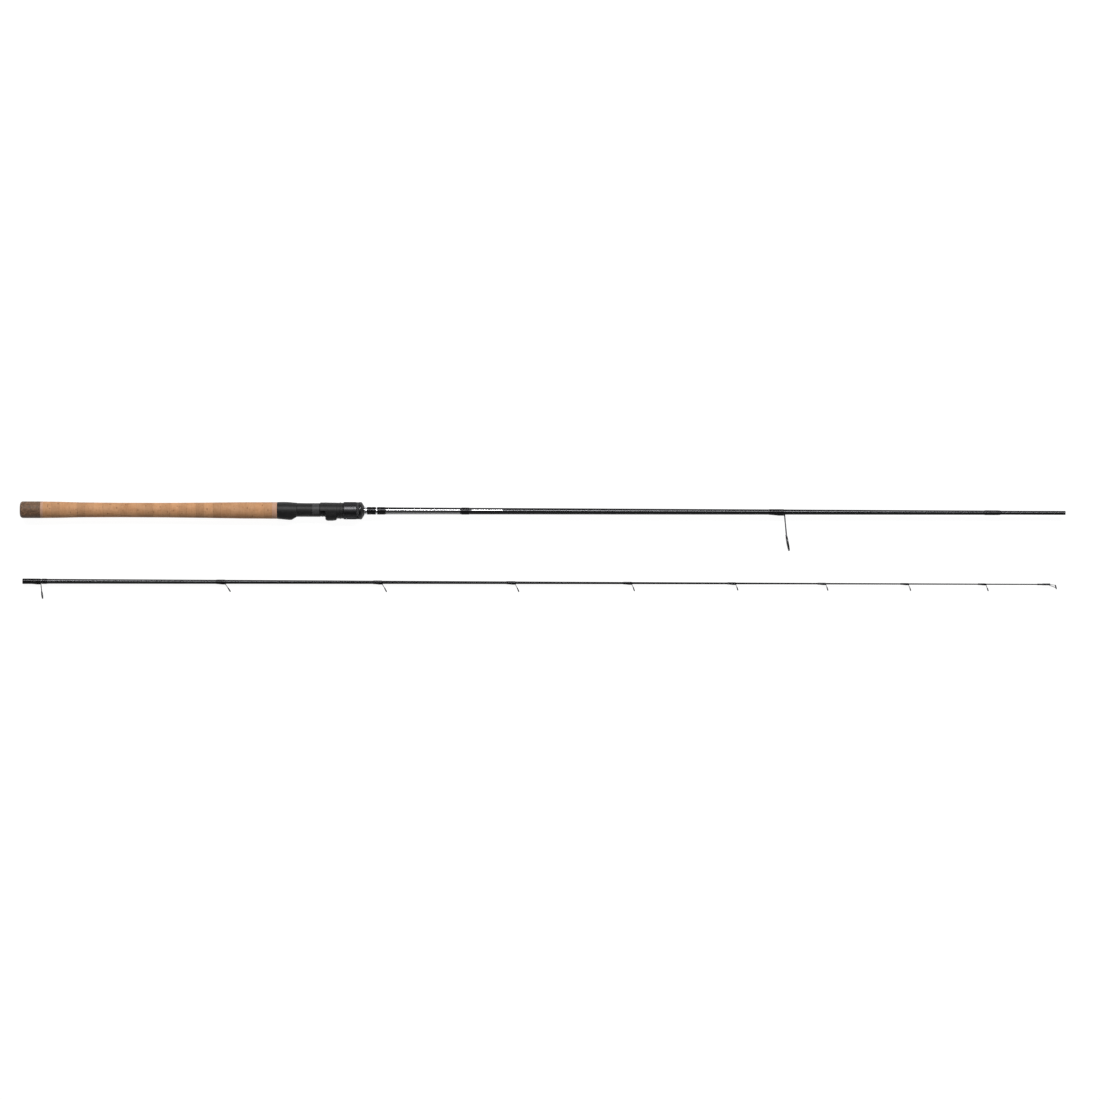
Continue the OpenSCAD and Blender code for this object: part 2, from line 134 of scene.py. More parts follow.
def swept(stations, radii):
    """A closed form round the axis, with a row of radii for each station and a column for each angle."""
    rows, turns = radii.shape
    a = np.arange(turns) / turns * TAU
    s = np.broadcast_to(stations[:, None], radii.shape)
    points = np.stack([s, radii * np.cos(a), radii * np.sin(a)], -1)
    i, j = np.meshgrid(np.arange(rows), np.arange(turns), indexing="ij")
    i2, j2 = (i + 1) % rows, (j + 1) % turns
    quads = [i * turns + j, i * turns + j2, i2 * turns + j2, i2 * turns + j]
    return points.reshape(-1, 3), np.stack(quads, -1).reshape(-1, 4)


def lathe(outline, turns=96):
    """A turned form. The outline is (station, radius), out along the skin and back along the bore."""
    outline = np.asarray(outline, float)
    return swept(outline[:, 0], np.repeat(outline[:, 1:], turns, 1))


def hoop(outer, thick, width):
    """A flat band bent into a ring, with its edges broken."""
    half = width / 2
    corners = [(-half, outer - thick), (-half, outer), (half, outer), (half, outer - thick)]
    return lathe(soften(corners, 0.16), 96)


def tilted(mesh, centre, lean):
    """A form that was turned about x, leaned about z and moved to centre."""
    v, q = mesh
    c, s = math.cos(math.radians(lean)), math.sin(math.radians(lean))
    turned = np.stack([v[:, 0] * c - v[:, 1] * s, v[:, 0] * s + v[:, 1] * c, v[:, 2]], 1)
    return turned + np.asarray(centre), q


def smooth_min(a, b, k):
    h = np.clip(0.5 + 0.5 * (b - a) / k, 0, 1)
    return b + (a - b) * h - k * h * (1 - h)


def smooth_max(a, b, k):
    return -smooth_min(-a, -b, k)


def polygon_field(points, u, v):
    """Distance to a closed outline, negative inside it."""
    pts = np.asarray(points, float)
    best = np.full(np.shape(u), 1e9)
    inside = np.zeros(np.shape(u), bool)
    for (x0, y0), (x1, y1) in zip(pts, np.roll(pts, -1, 0)):
        ex, ey = x1 - x0, y1 - y0
        length = ex * ex + ey * ey
        if length < 1e-12:
            continue
        t = np.clip(((u - x0) * ex + (v - y0) * ey) / length, 0, 1)
        best = np.minimum(best, (u - x0 - t * ex) ** 2 + (v - y0 - t * ey) ** 2)
        if abs(ey) > 1e-9:
            spans = ((y0 <= v) & (v < y1)) | ((y1 <= v) & (v < y0))
            inside ^= spans & (u < x0 + (v - y0) * ex / ey)
    return np.where(inside, -1, 1) * np.sqrt(best)


def rod_field(x, y, z, p, q, rp, rq):
    """Distance to a bar from p to q that tapers from radius rp to rq."""
    p, q = np.asarray(p, float), np.asarray(q, float)
    d = q - p
    t = np.clip(((x - p[0]) * d[0] + (y - p[1]) * d[1] + (z - p[2]) * d[2]) / (d @ d), 0, 1)
    away = np.sqrt((x - p[0] - t * d[0]) ** 2 + (y - p[1] - t * d[1]) ** 2 + (z - p[2] - t * d[2]) ** 2)
    return away - (rp + (rq - rp) * t)


def field_mesh(field, low, high, step):
    """Closed quads over the surface where field is nought, found on a grid and then settled onto it."""
    low = np.asarray(low, float)
    counts = [int(math.ceil((b - a) / step)) + 1 for a, b in zip(low, high)]
    grid = [low[k] + step * np.arange(counts[k]) for k in range(3)]
    value = field(*np.meshgrid(*grid, indexing="ij"))
    below = value < 0
    corners = np.zeros([c - 1 for c in counts], np.int8)
    for d in itertools.product((0, 1), repeat=3):
        corners += below[tuple(slice(k, k + c - 1) for k, c in zip(d, counts))]
    mixed = (corners > 0) & (corners < 8)
    index = np.full(mixed.shape, -1)
    index[mixed] = np.arange(mixed.sum())
    total = np.zeros((int(mixed.sum()), 3))
    weight = np.zeros(len(total))
    quads = []
    for axis in range(3):
        u, v = (axis + 1) % 3, (axis + 2) % 3
        near = [slice(None)] * 3
        far = [slice(None)] * 3
        near[axis], far[axis] = slice(0, -1), slice(1, None)
        edges = np.argwhere(below[tuple(near)] != below[tuple(far)])
        ends = edges.copy()
        ends[:, axis] += 1
        va, vb = value[tuple(edges.T)], value[tuple(ends.T)]
        points = low + step * edges
        points[:, axis] += step * va / (va - vb)
        cells = []
        for du, dv in ((0, 0), (-1, 0), (-1, -1), (0, -1)):
            c = edges.copy()
            c[:, u] += du
            c[:, v] += dv
            cells.append(index[tuple(c.T)])
        for c in cells:
            np.add.at(total, c, points)
            np.add.at(weight, c, 1)
        quad = np.stack(cells, 1)
        quads.append(np.where((va < 0)[:, None], quad, quad[:, ::-1]))
    verts = total / weight[:, None]
    h = step * 0.2
    for _ in range(3):
        slope = np.stack(
            [(field(*(verts + h * e).T) - field(*(verts - h * e).T)) / (2 * h) for e in np.eye(3)], 1
        )
        size = np.maximum((slope**2).sum(1), 0.2)
        move = slope * (field(*verts.T) / size)[:, None]
        verts -= np.clip(move, -0.4 * step, 0.4 * step)
    return verts, np.concatenate(quads)


def make_object(name, mesh, origin, material, sharp=35.0, values=None):
    """An object from vertices in millimetres round a section's origin."""
    verts, quads = mesh
    data = bpy.data.meshes.new(name)
    places = (verts * MM + origin).astype(np.float32)
    data.vertices.add(len(places))
    data.vertices.foreach_set("co", places.ravel())
    data.loops.add(quads.size)
    data.loops.foreach_set("vertex_index", quads.astype(np.int32).ravel())
    data.polygons.add(len(quads))
    data.polygons.foreach_set("loop_start", np.arange(0, quads.size, 4, dtype=np.int32))
    for key, column in (values or {}).items():
        data.attributes.new(key, "FLOAT", "POINT").data.foreach_set("value", column.astype(np.float32))
    data.update(calc_edges=True)
    data.validate()
    data.shade_smooth()
    data.set_sharp_from_angle(angle=math.radians(sharp))
    data.materials.append(material)
    obj = bpy.data.objects.new(name, data)
    bpy.context.scene.collection.objects.link(obj)
    return obj


def piece(name, mesh, section, material, body, nodes, slot, **options):
    """A finished piece that rides on a body and stands for CAD nodes."""
    obj = make_object(name, mesh, section, material, **options)
    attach(obj, body)
    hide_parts(*nodes)


# ---------------------------------------------------------------- camera, light and floor


# The camera looks straight down from far away. Lengths in metres, lens and sensor in millimetres
FRAME_WIDTH = 1.661
LENS = 200.0
SENSOR = 36.0
VIEW_CENTRE = Vector((0.011, 0.0022, 0.01))
CAMERA_ROLL = math.radians(0.18)
camera_data = bpy.data.cameras.new("camera")
camera_data.lens = LENS
camera_data.sensor_width = SENSOR
camera_data.clip_end = 100
camera = bpy.data.objects.new("camera", camera_data)
bpy.context.scene.collection.objects.link(camera)
camera_place = VIEW_CENTRE + Vector((0, 0, FRAME_WIDTH * LENS / SENSOR))
camera.matrix_world = Matrix.Translation(camera_place) @ Matrix.Rotation(CAMERA_ROLL, 4, "Z")
bpy.context.scene.camera = camera
bpy.context.scene.view_settings.view_transform = "Standard"


def area_light(name, place, size, power):
    """A soft light that faces the middle of the floor."""
    data = bpy.data.lights.new(name, "AREA")
    data.shape = "RECTANGLE"
    data.size, data.size_y = size
    data.energy = power
    light = bpy.data.objects.new(name, data)
    bpy.context.scene.collection.objects.link(light)
    turn = (-Vector(place)).to_track_quat("-Z", "Y").to_matrix()
    light.matrix_world = Matrix.Translation(place) @ turn.to_4x4()


area_light("strip_light", (0, 1.22, 1.74), (3.8, 0.3), 77)
area_light("soft_top", (0, 0.7, 2.5), (4.4, 2.2), 6)
area_light("low_fill", (0, -2.0, 0.9), (3.8, 0.7), 3.5)

WORLD_LIGHT = 0.06
world = bpy.data.worlds.new("studio")
bpy.context.scene.world = world
world.use_nodes = True
background = world.node_tree.nodes["Background"]
background.inputs["Color"].default_value = (1, 1, 1, 1)
background.inputs["Strength"].default_value = WORLD_LIGHT


# ---------------------------------------------------------------- materials


# Metallic finishes stand for lacquer over black, and this keeps their edges from turning white
EDGE_TINT = (0.2, 0.2, 0.2, 1)
NO_TINT = (1, 1, 1, 1)


class Shader:
    """A material's node tree, built from the surface's own position at rest."""

    def __init__(self, name, **sockets):
        self.material = bpy.data.materials.new(name)
        self.material.use_nodes = True
        self.tree = self.material.node_tree
        self.surface = self.tree.nodes["Principled BSDF"]
        for key, value in sockets.items():
            self.surface.inputs[key.replace("_", " ")].default_value = value
        self.place = self.node("ShaderNodeTexCoord").outputs["Object"]

    def node(self, kind, settings=None, **sockets):
        made = self.tree.nodes.new(kind)
        for key, value in (settings or {}).items():
            setattr(made, key, value)
        for key, value in sockets.items():
            self.plug(made.inputs[key.replace("_", " ")], value)
        return made

    def plug(self, socket, value):
        if isinstance(value, bpy.types.NodeSocket):
            self.tree.links.new(value, socket)
        else:
            socket.default_value = value

    def math(self, operation, a, b=0.0):
        made = self.tree.nodes.new("ShaderNodeMath")
        made.operation = operation
        self.plug(made.inputs[0], a)
        self.plug(made.inputs[1], b)
        return made.outputs[0]

    def times(self, *values):
        """The product of two or more values."""
        total = values[0]
        for value in values[1:]:
            total = self.math("MULTIPLY", total, value)
        return total

    def between(self, value, low, high):
        """One where the value lies between low and high, and nought elsewhere."""
        return self.times(self.math("GREATER_THAN", value, low), self.math("LESS_THAN", value, high))

    def scaled(self, x, y, z):
        """The place with each axis scaled, for grain that is stretched along one of them."""
        made = self.node("ShaderNodeVectorMath", {"operation": "MULTIPLY"})
        self.plug(made.inputs[0], self.place)
        made.inputs[1].default_value = (x, y, z)
        return made.outputs[0]

    def wobbled(self, scale, amount):
        """The place pushed about by noise, so that cells get ragged edges."""
        push = self.node("ShaderNodeTexNoise", Vector=self.place, Scale=scale, Detail=3.0).outputs["Color"]
        centred = self.node("ShaderNodeVectorMath", {"operation": "SUBTRACT"})
        self.plug(centred.inputs[0], push)
        centred.inputs[1].default_value = (0.5, 0.5, 0.5)
        made = self.node("ShaderNodeVectorMath", {"operation": "MULTIPLY_ADD"})
        self.plug(made.inputs[0], centred.outputs[0])
        made.inputs[1].default_value = (amount, amount, amount)
        self.plug(made.inputs[2], self.place)
        return made.outputs[0]

    def axis(self, index):
        return self.node("ShaderNodeSeparateXYZ", Vector=self.place).outputs[index]

    def noise(self, vector, scale, detail=3.0, roughness=0.55):
        return self.node(
            "ShaderNodeTexNoise", Vector=vector, Scale=scale, Detail=detail, Roughness=roughness
        ).outputs["Fac"]

    def ramp(self, value, *stops):
        """Colours or greys along a value, from (position, colour) stops."""
        made = self.node("ShaderNodeValToRGB", Fac=value)
        line = made.color_ramp
        while len(line.elements) < len(stops):
            line.elements.new(0.5)
        for element, (position, colour) in zip(line.elements, stops):
            element.position = position
            grey = isinstance(colour, (int, float))
            element.color = (colour, colour, colour, 1) if grey else (*colour, 1)
        return made.outputs["Color"]

    def mix(self, amount, a, b, blend="MIX"):
        made = self.tree.nodes.new("ShaderNodeMix")
        made.data_type = "RGBA"
        made.blend_type = blend
        self.plug(made.inputs["Factor"], amount)
        for key, value in ((6, a), (7, b)):
            self.plug(made.inputs[key], value if isinstance(value, bpy.types.NodeSocket) else (*value, 1))
        return made.outputs[2]

    def bump(self, height, strength, distance):
        made = self.node("ShaderNodeBump", Strength=strength, Distance=distance, Height=height)
        before = self.surface.inputs["Normal"]
        if before.is_linked:
            self.tree.links.new(before.links[0].from_socket, made.inputs["Normal"])
        self.tree.links.new(made.outputs["Normal"], before)

    def colour(self, value):
        self.plug(self.surface.inputs["Base Color"], value)

    def rough(self, value):
        self.plug(self.surface.inputs["Roughness"], value)


def cork_material(name, light, mid, dark, ring_start, ring_step, tone_spread):
    """Sanded cork: a tone for each glued ring, growth streaks across it, lenticels and open pits."""
    sh = Shader(name, Specular_IOR_Level=0.3)
    along = sh.math("DIVIDE", sh.math("SUBTRACT", sh.axis(0), ring_start), ring_step)
    ring = sh.math("FLOOR", along)
    tone = sh.node("ShaderNodeTexWhiteNoise", {"noise_dimensions": "1D"}, W=ring).outputs["Value"]
    cloud = sh.noise(sh.scaled(1, 1.6, 1.6), 55, 4, 0.6)
    streak = sh.noise(sh.scaled(2.4, 0.7, 0.7), 190, 5, 0.62)
    growth = sh.math("ADD", sh.times(cloud, 0.55), sh.times(streak, 0.45))
    base = sh.ramp(growth, (0.28, dark), (0.48, mid), (0.68, light))
    lift = sh.ramp(tone, (0.0, 1 - tone_spread), (1.0, 1 + tone_spread * 0.5))
    toned = sh.mix(1.0, base, lift, "MULTIPLY")
    grain = sh.noise(sh.place, 1500, 2, 0.5)
    speck = sh.ramp(grain, (0.36, 0.86), (0.5, 1.0))
    toned = sh.mix(1.0, toned, speck, "MULTIPLY")
    cells = sh.node("ShaderNodeTexVoronoi", {"feature": "F1"}, Vector=sh.scaled(1.0, 0.42, 0.42), Scale=260)
    lens = sh.ramp(cells.outputs["Distance"], (0.07, 1.0), (0.15, 0.0))
    rare = sh.ramp(sh.noise(sh.place, 90, 2), (0.5, 0.0), (0.6, 1.0))
    marks = sh.times(lens, rare)
    toned = sh.mix(sh.times(marks, 0.7), toned, (0.17, 0.08, 0.036))
    pit = sh.node("ShaderNodeAttribute", {"attribute_name": "pit"}).outputs["Fac"]
    toned = sh.mix(sh.times(pit, 0.85), toned, (0.13, 0.06, 0.028))
    sh.colour(toned)
    sh.rough(sh.math("SUBTRACT", 0.8, sh.times(cloud, 0.18)))
    sh.bump(grain, 0.35, 0.00012)
    sh.bump(streak, 0.25, 0.0003)
    sh.bump(marks, -0.5, 0.0003)
    return sh.material


def burl_material():
    """Rubber-bonded composite cork: granules of several sizes and tones in a dark binder."""
    sh = Shader("burl_cork", Specular_IOR_Level=0.35)
    ragged = sh.wobbled(900, 0.0022)

    def granules(scale, channel, *stops):
        cells = sh.node("ShaderNodeTexVoronoi", {"feature": "F1"}, Vector=ragged, Scale=scale)
        value = sh.node("ShaderNodeSeparateColor", Color=cells.outputs["Color"]).outputs[channel]
        return value, sh.ramp(value, *stops)

    cell, tone = granules(470, "Red", (0.0, (0.05, 0.029, 0.017)), (0.4, (0.1, 0.055, 0.03)),
                          (0.75, (0.145, 0.079, 0.043)), (1.0, (0.215, 0.118, 0.064)))
    small, fine_tone = granules(1250, "Green", (0.0, (0.04, 0.025, 0.016)), (1.0, (0.2, 0.112, 0.062)))
    tone = sh.mix(0.4, tone, fine_tone)
    chips = sh.node("ShaderNodeTexVoronoi", {"feature": "F1"}, Vector=ragged, Scale=300)
    dark = sh.ramp(chips.outputs["Distance"], (0.12, 1.0), (0.26, 0.0))
    tone = sh.mix(sh.times(dark, 0.55), tone, (0.03, 0.019, 0.013))
    cloud = sh.noise(sh.place, 130, 3)
    tone = sh.mix(1.0, tone, sh.ramp(cloud, (0.3, 0.85), (0.7, 1.2)), "MULTIPLY")
    sh.colour(tone)
    sh.rough(sh.math("ADD", 0.5, sh.times(cell, 0.2)))
    sh.bump(sh.noise(sh.place, 1800, 2), 0.3, 0.0001)
    sh.bump(small, 0.2, 0.0001)
    return sh.material


# The two decorated zones in front of the handle, as stations. Across the blank, distances from its
# axis count towards -y: the pinstripe, print that is also a painted highlight, lies on one side, and
# the silver flank, print that is also painted light, begins on the other
FIRST_ZONE, SECOND_ZONE = (552.0, 664.0), (682.0, 728.0)
PRINT_AND_HIGHLIGHT_STRIPE, PRINT_AND_LIGHT_FLANK_FROM, SECOND_PRINT_AND_HIGHLIGHT_SHIFT = (-2.6, -1.4), 0.9, 0.7


def blank_material():
    """Carbon blank under clear coat: fibres along it, a slow winding pattern, and a pinstripe and a silver
    flank, both print that also stand in for a painted highlight and painted light.
    """
    sh = Shader("blank", Metallic=0.9, Specular_Tint=EDGE_TINT)
    fibre = sh.noise(sh.scaled(6, 420, 420), 14, 4, 0.6)
    slow = sh.noise(sh.scaled(1, 0, 0), 22, 2)
    tone = sh.ramp(fibre, (0.3, (0.062, 0.063, 0.066)), (0.7, (0.09, 0.0915, 0.096)))
    tone = sh.mix(1.0, tone, sh.ramp(slow, (0.3, 0.9), (0.7, 1.1)), "MULTIPLY")
    on_butt = sh.math("GREATER_THAN", sh.axis(1), 0.0)
    on_tip = sh.math("SUBTRACT", 1.0, on_butt)
    along_tip = sh.times(on_tip, sh.math("ADD", sh.axis(0), 0.55))
    tone = sh.mix(1.0, tone, sh.ramp(along_tip, (0.0, 0.75), (0.3, 0.3), (1.0, 0.12)), "MULTIPLY")
    along_butt = sh.times(on_butt, sh.axis(0))
    tone = sh.mix(1.0, tone, sh.ramp(along_butt, (0.0, 1.0), (0.79, 0.6)), "MULTIPLY")
    station = sh.math("DIVIDE", sh.math("SUBTRACT", sh.axis(0), float(BUTT[0])), MM)
    drop = sh.math("DIVIDE", sh.math("SUBTRACT", float(BUTT[1]), sh.axis(1)), MM)
    first, second = sh.between(station, *FIRST_ZONE), sh.between(station, *SECOND_ZONE)
    # The flank is silver print on the -y half, and it also paints on light: that half is lighter as if lit
    # from -y
    print_and_light_flank = sh.times(on_butt, first, sh.math("GREATER_THAN", drop, PRINT_AND_LIGHT_FLANK_FROM))
    print_and_light_flank_tone = sh.ramp(fibre, (0.35, (0.28, 0.282, 0.288)), (0.65, (0.42, 0.423, 0.43)))
    tone = sh.mix(sh.times(print_and_light_flank, 0.9), tone, print_and_light_flank_tone)
    # The pinstripe is print on the +y side, laid where the strip light's highlight falls, so it is also a
    # painted highlight
    print_and_highlight_stripe = sh.between(sh.math("SUBTRACT", drop, sh.times(second, SECOND_PRINT_AND_HIGHLIGHT_SHIFT)), *PRINT_AND_HIGHLIGHT_STRIPE)
    dash = sh.math("GREATER_THAN", sh.noise(sh.scaled(1, 0, 0), 900, 2), 0.4)
    print_and_highlight_amount = sh.math("ADD", 0.35, sh.times(dash, 0.45))
    print_and_highlight_colour = sh.ramp(fibre, (0.35, (0.5, 0.5, 0.51)), (0.65, (0.75, 0.75, 0.76)))
    sh.colour(sh.mix(sh.times(on_butt, sh.math("ADD", first, second), print_and_highlight_stripe, print_and_highlight_amount), tone, print_and_highlight_colour))
    sh.rough(sh.math("ADD", 0.1, sh.times(fibre, 0.08)))
    sh.bump(fibre, 0.02, 0.00002)
    return sh.material


def plastic_material(name, dark, light, rough_low, rough_high, grain, metallic):
    """Moulded plastic with a fine spark-eroded grain and faint flow clouds."""
    tint = EDGE_TINT if metallic else NO_TINT
    sh = Shader(name, Metallic=metallic, Specular_IOR_Level=0.25, Specular_Tint=tint)
    cloud = sh.noise(sh.place, 160, 3)
    fine = sh.noise(sh.place, grain, 2, 0.6)
    sh.colour(sh.ramp(cloud, (0.3, dark), (0.7, light)))
    sh.rough(sh.ramp(fine, (0.3, rough_low), (0.7, rough_high)))
    sh.bump(fine, 0.08, 0.00003)
    return sh.material


def wrap_material():
    """Close turns of thread seen through thick varnish."""
    sh = Shader("wrap", Metallic=0.85, Specular_Tint=EDGE_TINT)
    turn = sh.node("ShaderNodeTexWave", {"wave_type": "BANDS", "bands_direction": "X"},
                   Vector=sh.place, Scale=1500, Distortion=1.2, Detail=1.0, Detail_Scale=2.0)
    fuzz = sh.noise(sh.scaled(1, 3, 3), 700, 2)
    tone = sh.ramp(turn.outputs["Fac"], (0.1, (0.014, 0.014, 0.015)), (0.9, (0.034, 0.034, 0.036)))
    sh.colour(sh.mix(sh.times(fuzz, 0.2), tone, (0.045, 0.045, 0.047)))
    sh.rough(sh.math("ADD", 0.14, sh.times(fuzz, 0.12)))
    sh.bump(turn.outputs["Fac"], 0.12, 0.00004)
    return sh.material


def metal_material(name, tone_a, tone_b, rough, lines):
    """Turned or drawn metal: fine lines round it and a little uneven polish."""
    sh = Shader(name, Metallic=1.0)
    line = sh.noise(sh.scaled(lines, 6, 6), 20, 3, 0.6)
    worn = sh.noise(sh.place, 350, 3)
    sh.colour(sh.ramp(worn, (0.3, tone_a), (0.7, tone_b)))
    sh.rough(sh.math("ADD", rough, sh.times(line, 0.14)))
    sh.bump(line, 0.12, 0.00003)
    return sh.material


def ceramic_material():
    """Polished dark ceramic with the faint bloom that fine grinding leaves."""
    sh = Shader("ceramic", Specular_IOR_Level=0.7, Coat_Weight=0.6, Coat_Roughness=0.03)
    bloom = sh.noise(sh.place, 600, 4)
    sh.colour(sh.ramp(bloom, (0.3, (0.014, 0.014, 0.017)), (0.7, (0.03, 0.03, 0.036))))
    sh.rough(sh.math("ADD", 0.1, sh.times(bloom, 0.12)))
    sh.bump(bloom, 0.05, 0.00003)
    return sh.material


def rubber_material():
    """Matt moulded rubber."""
    sh = Shader("rubber", Specular_IOR_Level=0.35)
    fine = sh.noise(sh.place, 2200, 2)
    cloud = sh.noise(sh.place, 240, 2)
    sh.colour(sh.ramp(cloud, (0.3, (0.018, 0.018, 0.019)), (0.7, (0.034, 0.034, 0.036))))
    sh.rough(sh.ramp(fine, (0.3, 0.55), (0.7, 0.8)))
    sh.bump(fine, 0.3, 0.00008)
    return sh.material


def arbor_material():
    """Wound fibre tape, with its turns showing at the ends."""
    sh = Shader("arbor", Specular_IOR_Level=0.25)
    turns = sh.node("ShaderNodeTexWave", {"wave_type": "BANDS", "bands_direction": "X"},
                    Vector=sh.place, Scale=330, Distortion=2.0)
    fibre = sh.noise(sh.scaled(1, 4, 4), 500, 3)
    tape = sh.ramp(fibre, (0.3, (0.42, 0.34, 0.22)), (0.7, (0.6, 0.52, 0.38)))
    sh.colour(sh.mix(sh.times(turns.outputs["Fac"], 0.5), tape, (0.36, 0.29, 0.19)))
    sh.rough(sh.math("ADD", 0.7, sh.times(fibre, 0.2)))
    sh.bump(turns.outputs["Fac"], 0.3, 0.0001)
    return sh.material


GRIP_START, GRIP_END, RING_COUNT = 35.0, 381.0, 27
RING_STEP = (GRIP_END - GRIP_START) / RING_COUNT
ACCENT_BAND = 4.0  # the pale cork changes tone along it in steps of this length
mat = {
    "cork": cork_material(
        "cork", (0.51, 0.278, 0.143), (0.435, 0.225, 0.107), (0.35, 0.163, 0.07),
        float(BUTT[0]) + GRIP_START * MM, RING_STEP * MM, 0.16),
    "accent_cork": cork_material(
        "accent_cork", (0.48, 0.285, 0.195), (0.425, 0.245, 0.165), (0.355, 0.195, 0.125),
        float(BUTT[0]), ACCENT_BAND * MM, 0.08),
    "burl_cork": burl_material(),
    "blank": blank_material(),
    "seat_black": plastic_material(
        "seat_black", (0.008, 0.008, 0.0082), (0.012, 0.012, 0.0123), 0.42, 0.54, 1900, 0.0),
    "seat_grey": plastic_material(
        "seat_grey", (0.031, 0.031, 0.032), (0.043, 0.043, 0.0445), 0.42, 0.55, 1500, 0.0),
    "nut_black": plastic_material(
        "nut_black", (0.052, 0.052, 0.055), (0.062, 0.062, 0.065), 0.34, 0.4, 2400, 1.0),
    "wrap": wrap_material(),
    "silver_trim": metal_material("silver_trim", (0.7, 0.71, 0.73), (0.86, 0.87, 0.89), 0.14, 4000),
    "black_chrome": metal_material("black_chrome", (0.07, 0.07, 0.075), (0.11, 0.11, 0.118), 0.1, 3000),
    "liner": metal_material("liner", (0.3, 0.31, 0.33), (0.44, 0.45, 0.47), 0.3, 900),
    "guide_metal": metal_material("guide_metal", (0.016, 0.016, 0.018), (0.032, 0.032, 0.035), 0.2, 300),
    "ceramic": ceramic_material(),
    "rubber": rubber_material(),
    "arbor": arbor_material(),
}

# CAD nodes that stay as they are get the same finishes
slot_of = {p["node"]: p["material_slot"] for p in frame["record"]["subparts"]}
for node, obj in frame["nodes"].items():
    obj.data.materials.clear()
    obj.data.materials.append(mat[slot_of[node]])

# ---------------------------------------------------------------- blanks


BLANK_STEP = 12.0


def blank_outline(taper, bore):
    """A tapered tube's outline, with enough stations for an even skin and rounded ends."""
    between = np.arange(taper[0][0] + BLANK_STEP, taper[-1][0] - 4, BLANK_STEP)
    marks = sorted({s for s, _ in taper} | set(between))
    skin = [(s, float(np.interp(s, *zip(*taper)))) for s in marks]
    first, last = skin[0], skin[-1]
    skin[0] = (first[0], first[1] - 0.12)
    skin.insert(1, (first[0] + 0.12, first[1]))
    skin.append((last[0] + 0.3, last[1] - 0.12))
    skin.append((last[0] + 0.4, last[1] - 0.3))
    return skin + [(s, r) for s, r in reversed(bore)]


butt_tube = blank_outline(BUTT_TAPER, [(5, 5), (1480, 1.9), (1577.9, 1.85)])
piece("butt_blank_tube", lathe(butt_tube, 64), BUTT, mat["blank"], "butt_section", ["butt_blank"], "blank")

tip_marks = sorted({s for s, _ in TIP_TAPER[1:-1]} | set(np.arange(BLANK_STEP, 1550, BLANK_STEP)))
tip_tube = [(0, 3.6), (0.15, 3.75)]
tip_tube += [(s, tip_r(s)) for s in tip_marks]
tip_tube += [(1551.8, 0.85), (1552, 0.7), (1552, 0.02), (1551.9, 0.005)]
tip_tube += [(1000, 0.005), (998, 0.5), (600, 1.1), (105, 2.65), (102, 3.05), (0, 3.05)]
piece("tip_blank_tube", lathe(tip_tube, 48), TIP, mat["blank"], "tip_section", ["tip_blank"], "blank")

# ---------------------------------------------------------------- grip

CAP_R, CAP_EDGE = 12.6, 4.5
DIMPLE_R, DIMPLE_DEPTH = 6.5, 0.5
face_r = CAP_R - CAP_EDGE
cap_outline = [(0.0, 0.02), (0.0, face_r)]
cap_outline += [(CAP_EDGE - CAP_EDGE * math.cos(a), face_r + CAP_EDGE * math.sin(a))
                for a in np.linspace(0.1, math.pi / 2, 14)]
cap_outline += list(np.stack([np.linspace(6, 30.4, 14), np.full(14, CAP_R)], 1))
cap_outline += [(30.85, 12.52), (31, 12.3), (31, 6.3), (5, 6.3), (5, 0.02)]
cap_v, cap_q = lathe(cap_outline, 128)
from_axis = np.hypot(cap_v[:, 1], cap_v[:, 2])
dimple = DIMPLE_DEPTH * np.clip(1 - from_axis / DIMPLE_R, 0, 1) ** 0.5
cap_v[:, 0] += np.where(cap_v[:, 0] < 0.01, dimple, 0)
piece("butt_cap_burl", (cap_v, cap_q), BUTT, mat["burl_cork"], "butt_section", ["butt_cap"], "burl_cork")


def cork_ring(start, end, skin, bore, pits, turns=176):
    """One glued ring of cork with sanded edges and open pits, and how deep each of its points lies."""
    middle = np.linspace(start + 0.3, end - 0.3, 26)
    stations = np.concatenate([[start, start + 0.05], middle, [end - 0.05, end]])
    angle = np.arange(turns) / turns * TAU
    s, a = np.meshgrid(stations, angle, indexing="ij")
    radius = np.repeat(skin(stations)[:, None], turns, 1)
    radius[[0, -1]] -= 0.07
    depth = np.zeros_like(radius)
    for centre, around, long, wide, deep in pits:
        du = (s - centre) / long
        dv = ((a - around + math.pi) % TAU - math.pi) * radius / wide
        depth = np.maximum(depth, deep * np.clip(1.25 - du**2 - dv**2, 0, 1))
    edge = np.clip(np.minimum(s - start, end - s) / 0.3, 0, 1)
    depth *= edge
    wave = 0.02 * np.sin(3 * a + start) * np.sin(s * 0.9)
    radius += wave * edge - depth
    inner = np.full((2, turns), bore)
    mesh = swept(np.concatenate([stations, [end, start]]), np.concatenate([radius, inner]))
    shade = np.concatenate([np.clip(depth / 0.3, 0, 1), np.zeros((2, turns))]).ravel()
    return mesh, shade


def grip_skin(s):
    return np.interp(s, *zip(*GRIP))


rings, shades = [], []
for i in range(RING_COUNT):
    a = GRIP_START + i * RING_STEP
    pits = []
    for _ in range(int(RANDOM.integers(10, 26))):
        size = RANDOM.uniform(0.2, 1.0) ** 2.2
        pits.append((RANDOM.uniform(a, a + RING_STEP), RANDOM.uniform(0, TAU), 0.3 + 0.5 * size,
                     0.4 + RANDOM.uniform(0.4, 2.0) * size, 0.06 + 0.26 * size))
    ring, shade = cork_ring(a, a + RING_STEP - 0.1, grip_skin, 6.3, pits)
    rings.append(ring)
    shades.append(shade)
piece("cork_grip_rings", join_parts(rings), BUTT, mat["cork"], "butt_section", ["cork_rings"], "cork",
      values={"pit": np.concatenate(shades)})


